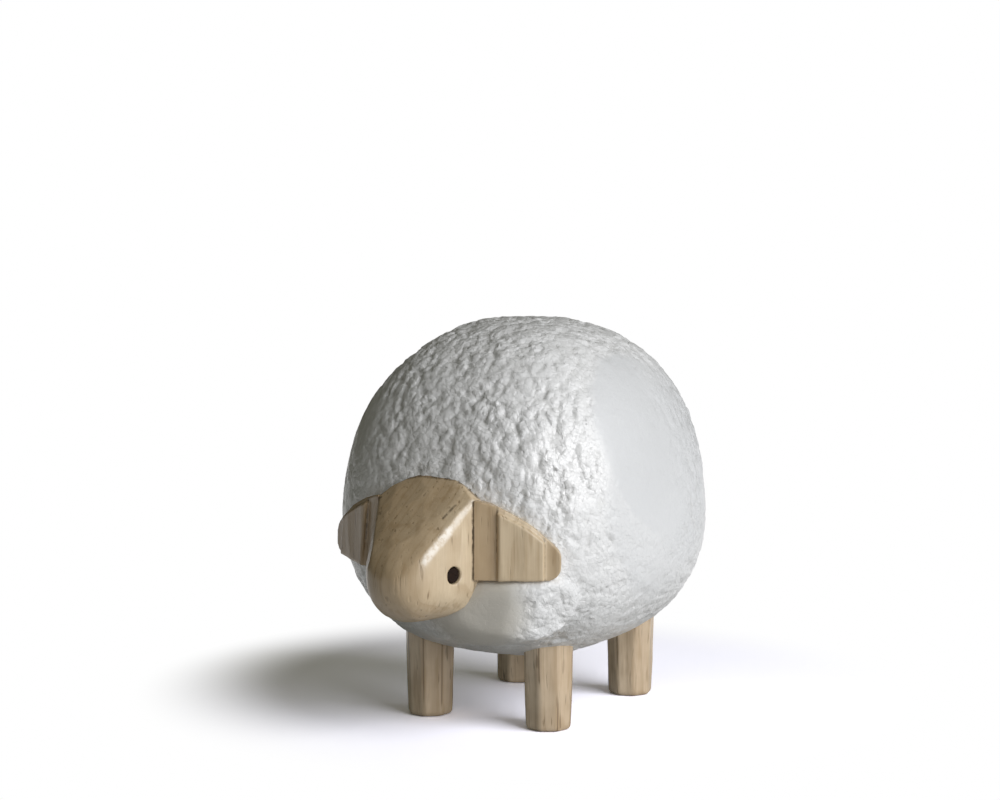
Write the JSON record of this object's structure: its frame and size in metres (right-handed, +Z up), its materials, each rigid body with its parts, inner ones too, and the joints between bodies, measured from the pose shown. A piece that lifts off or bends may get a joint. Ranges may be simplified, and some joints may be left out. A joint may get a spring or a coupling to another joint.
{
  "type": "sheep figurine",
  "caption": "Small standing sheep ornament with a round textured plaster body and a carved wooden head, ears and legs.",
  "frame": {"origin": "on the floor, below the middle of the whole ornament's box", "axes": "+Z up, the sheep looks along -Y, its left side is +X"},
  "size_m": [0.0904, 0.1278, 0.1084],
  "materials": {
    "plaster_wool": "white painted plaster, dabbed texture, semi-gloss",
    "pine": "pale varnished pine, satin",
    "core_wood": "raw softwood",
    "dowel_wood": "raw beech dowel",
    "eye_dark": "dark stained peg, slightly rough"
  },
  "bodies": {
    "root": {"body_core": "core_wood", "wool_coat": "plaster_wool", "tail": "plaster_wool", "head": "pine", "ear_left": "pine", "ear_right": "pine", "leg_front_left": "pine", "leg_front_right": "pine", "leg_rear_left": "pine", "leg_rear_right": "pine", "eye_left": "eye_dark", "eye_right": "eye_dark", "head_dowel_upper": "dowel_wood", "head_dowel_lower": "dowel_wood", "ear_pin_left": "dowel_wood", "ear_pin_right": "dowel_wood", "leg_dowel_front_left": "dowel_wood", "leg_dowel_front_right": "dowel_wood", "leg_dowel_rear_left": "dowel_wood", "leg_dowel_rear_right": "dowel_wood"}
  },
  "joints": []
}
